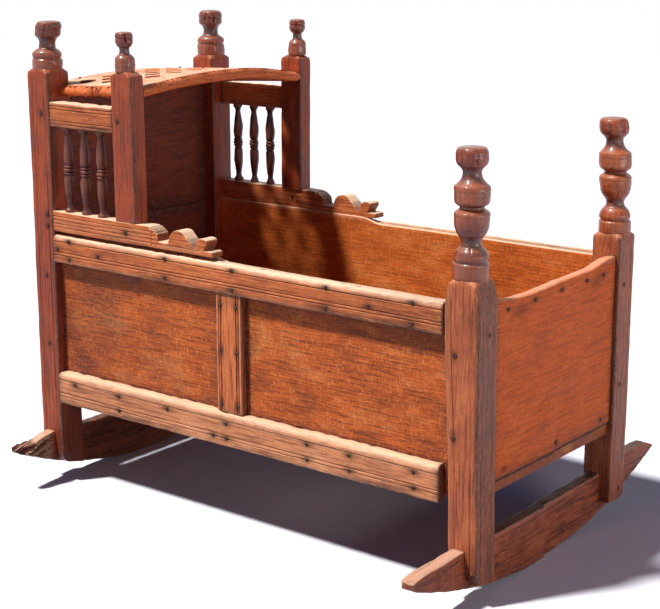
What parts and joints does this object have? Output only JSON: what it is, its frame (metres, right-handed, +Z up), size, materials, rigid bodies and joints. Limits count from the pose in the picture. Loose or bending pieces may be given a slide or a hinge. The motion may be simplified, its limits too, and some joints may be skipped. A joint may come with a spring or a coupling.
{
  "type": "rocking cradle",
  "caption": "Joined wooden cradle on two curved rockers, with turned corner posts and a hood with a pierced barrel roof on spindles.",
  "frame": {"origin": "point on the floor under the middle of the cradle, where the lowest lines of the rockers rest", "axes": "+X from the head to the foot along the cradle's length, +Y to the far side, across the rocking direction, +Z up"},
  "size_m": [0.902, 0.722, 0.7962],
  "materials": {
    "post_oak": "varnished oak, reddish brown",
    "rocker_oak": "varnished oak, dark and worn",
    "rail_oak": "varnished oak, orange brown",
    "board_oak": "varnished oak, bright orange brown",
    "roof_oak": "varnished oak, worn and pale",
    "turned_oak": "varnished oak, turned",
    "peg_oak": "end grain, dark",
    "nail_iron": "wrought iron, dark"
  },
  "bodies": {
    "root": {"foot_post_near": "post_oak", "foot_post_far": "post_oak", "head_post_near": "post_oak", "head_post_far": "post_oak", "hood_post_near": "post_oak", "hood_post_far": "post_oak", "foot_rocker": "rocker_oak", "head_rocker": "rocker_oak", "side_board_near": "board_oak", "side_board_far": "board_oak", "top_rail_near": "rail_oak", "top_rail_far": "rail_oak", "bottom_rail_near": "rail_oak", "bottom_rail_far": "rail_oak", "muntin_near": "rail_oak", "muntin_far": "rail_oak", "scroll_rail_near": "rail_oak", "scroll_rail_far": "rail_oak", "gallery_rail_near": "rail_oak", "gallery_rail_far": "rail_oak", "spindle_near_1": "turned_oak", "spindle_near_2": "turned_oak", "spindle_near_3": "turned_oak", "spindle_far_1": "turned_oak", "spindle_far_2": "turned_oak", "spindle_far_3": "turned_oak", "roof_board": "roof_oak", "head_board_lower": "board_oak", "head_board_upper": "board_oak", "foot_board": "board_oak", "floor_board_near": "board_oak", "floor_board_middle": "board_oak", "floor_board_far": "board_oak", "post_pegs_near": "peg_oak", "post_pegs_far": "peg_oak", "foot_board_pegs": "peg_oak", "foot_rocker_pins": "peg_oak", "head_rocker_pins": "peg_oak", "roof_dowels": "peg_oak", "side_nails_near": "nail_iron", "side_nails_far": "nail_iron", "foot_board_nails": "nail_iron", "floor_nails": "nail_iron", "roof_nails": "nail_iron"}
  },
  "joints": []
}
